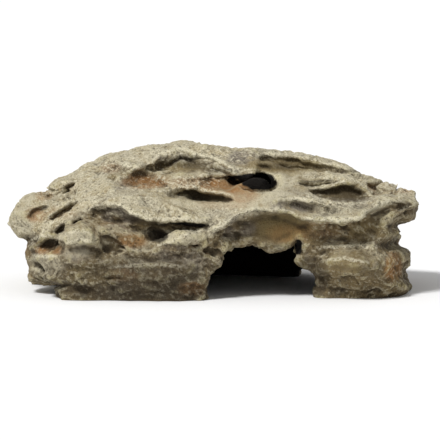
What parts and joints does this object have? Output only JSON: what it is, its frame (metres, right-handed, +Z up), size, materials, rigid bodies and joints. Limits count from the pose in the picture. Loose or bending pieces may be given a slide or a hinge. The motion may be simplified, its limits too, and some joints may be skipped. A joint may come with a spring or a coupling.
{
  "type": "resin cave ornament",
  "caption": "Low hollow artificial rock with a wide front entrance and a smaller rear one, a hide that stands on an aquarium floor.",
  "frame": {"origin": "on the floor under the middle of the ornament", "axes": "+X along its length, to the right as seen from the front entrance, +Y from the front entrance to the back, +Z up"},
  "size_m": [0.2395, 0.1466, 0.0841],
  "materials": {
    "pale_rock": "matt painted resin with dry-brushed edges",
    "tan_rock": "matt painted resin with a dark wash",
    "brown_rock": "matt painted resin with a dark wash"
  },
  "bodies": {
    "root": {"roof_shell": "pale_rock", "left_wing": "pale_rock", "left_pier": "tan_rock", "lintel": "brown_rock", "right_pier": "tan_rock", "left_end_wall": "tan_rock", "back_wall": "brown_rock", "right_end_wall": "tan_rock"}
  },
  "joints": []
}
